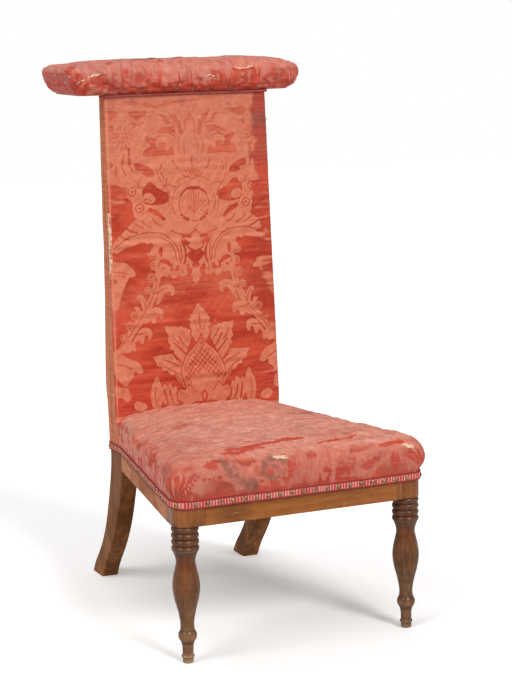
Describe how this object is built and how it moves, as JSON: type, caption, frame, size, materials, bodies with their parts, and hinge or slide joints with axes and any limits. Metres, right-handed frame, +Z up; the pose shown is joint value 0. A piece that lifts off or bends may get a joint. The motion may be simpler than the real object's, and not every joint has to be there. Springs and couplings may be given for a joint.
{
  "type": "prie-dieu chair",
  "caption": "Low upholstered kneeling chair with a tall covered back, a padded arm rest across its top, turned front legs and sabre rear legs.",
  "frame": {"origin": "on the floor, under the middle of the chair's overall footprint", "axes": "+X to the right as seen from the front, +Y from the front to the back, +Z up"},
  "size_m": [0.4684, 0.6362, 0.975],
  "materials": {
    "leg_wood": "satin, worn polish",
    "rail_wood": "satin, worn polish",
    "inner_wood": "raw, sawn",
    "iron_screw": "dull, oxidised",
    "nail_brass": "antique, dull",
    "silk_damask": "satin damask, worn and faded",
    "gimp_braid": "woven braid",
    "underside_cloth": "plain cotton cloth",
    "jute_webbing": "coarse woven jute",
    "hessian": "open plain weave",
    "horsehair": "curled hair stuffing",
    "cotton_wadding": "loose cotton wadding"
  },
  "bodies": {
    "root": {"front_leg_left": "leg_wood", "front_leg_right": "leg_wood", "rear_leg_left": "leg_wood", "rear_leg_right": "leg_wood", "front_seat_rail": "rail_wood", "side_seat_rail_left": "rail_wood", "side_seat_rail_right": "rail_wood", "rear_seat_rail": "rail_wood", "back_bottom_rail": "inner_wood", "back_top_rail": "inner_wood", "front_corner_block_left": "inner_wood", "front_corner_block_right": "inner_wood", "rear_corner_block_left": "inner_wood", "rear_corner_block_right": "inner_wood", "corner_block_screws": "iron_screw", "seat_webbing": "jute_webbing", "seat_hessian": "hessian", "seat_stuffing": "horsehair", "seat_cover": "silk_damask", "seat_gimp": "gimp_braid", "gimp_nails": "nail_brass", "back_webbing": "jute_webbing", "back_hessian": "hessian", "back_stuffing": "horsehair", "back_front_cover": "silk_damask", "back_rear_padding": "cotton_wadding", "back_rear_cover": "silk_damask", "arm_rest_board": "inner_wood", "arm_rest_wedges": "inner_wood", "arm_rest_screws": "iron_screw", "arm_rest_stuffing": "horsehair", "arm_rest_cover": "silk_damask", "arm_rest_underside": "underside_cloth", "arm_rest_piping": "gimp_braid"}
  },
  "joints": []
}
